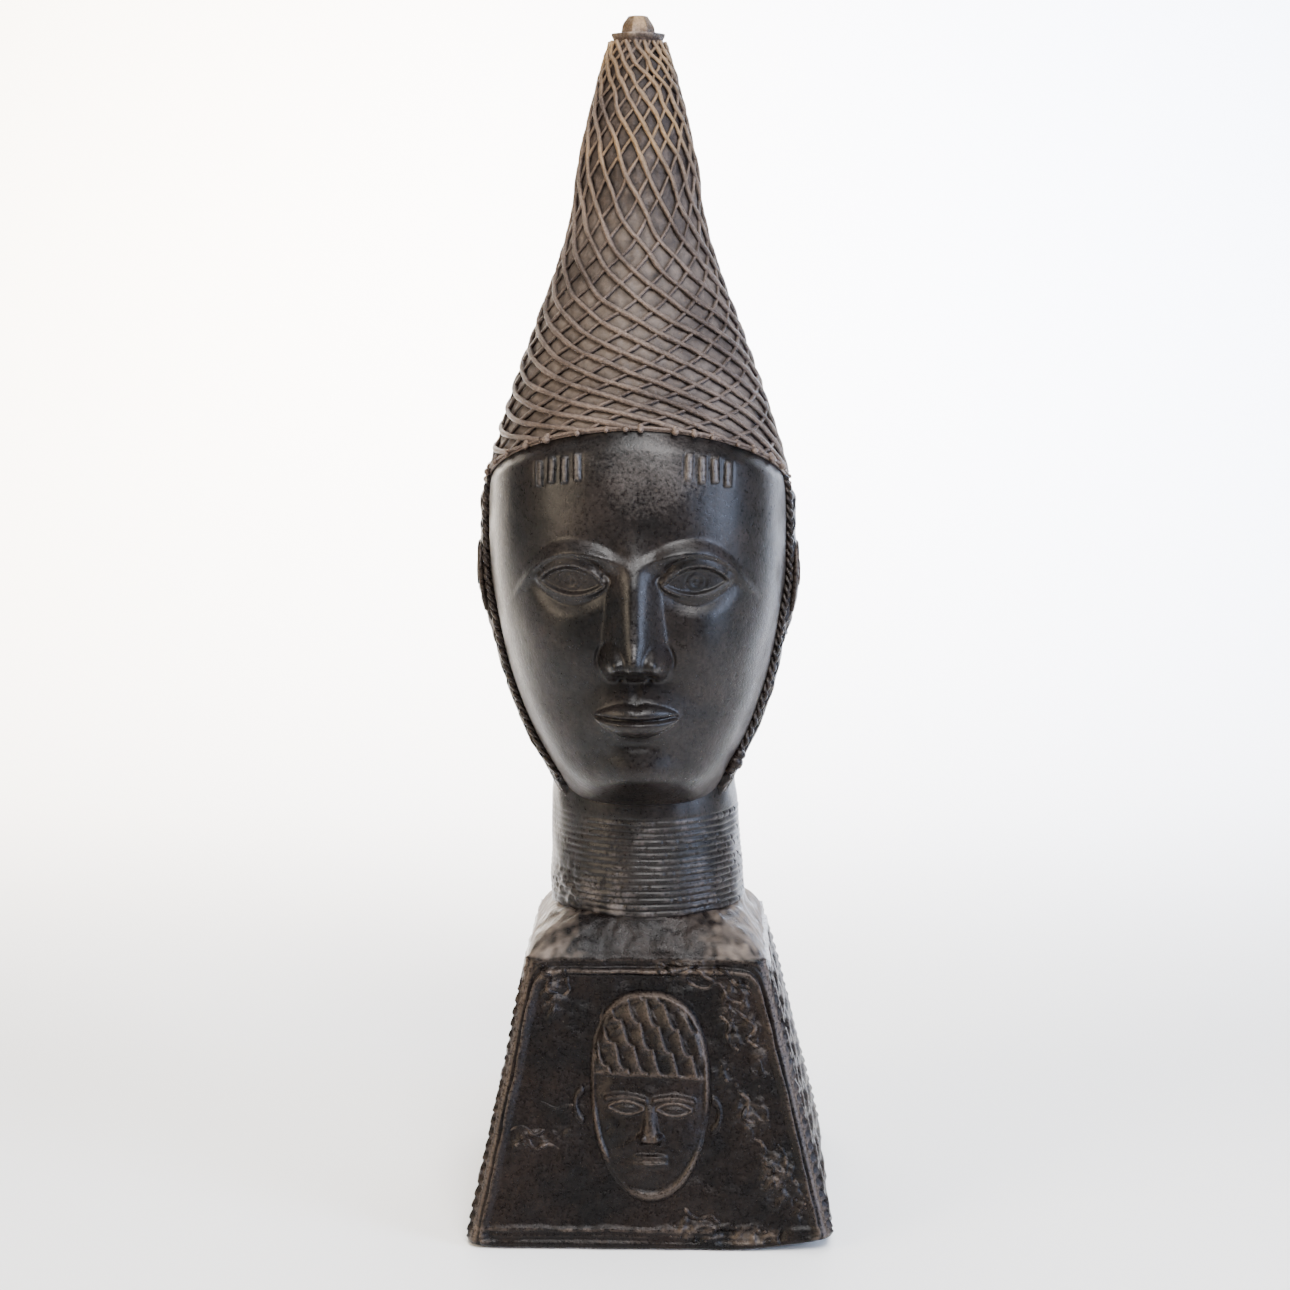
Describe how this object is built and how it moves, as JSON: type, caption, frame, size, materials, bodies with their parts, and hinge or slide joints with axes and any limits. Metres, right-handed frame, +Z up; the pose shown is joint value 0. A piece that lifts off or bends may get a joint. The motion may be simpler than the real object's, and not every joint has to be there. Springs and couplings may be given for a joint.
{
  "type": "bronze head sculpture",
  "caption": "Cast bronze head with a tall pointed net cap, ringed neck and a four-sided base with a relief; stands by its own weight as an ornament.",
  "frame": {"origin": "centre of the base's footprint, on the plane that the underside rests on", "axes": "+Z up along the neck and cap, -Y the way the face looks, +X to the right of someone who faces it"},
  "size_m": [0.214, 0.2181, 0.7],
  "materials": {
    "patinated_bronze": "dark brown patinated cast bronze, polished by handling on the face, matt and grey-brown in the net, worn golden at the tip"
  },
  "bodies": {
    "root": {"bronze_head": "patinated_bronze"}
  },
  "joints": []
}
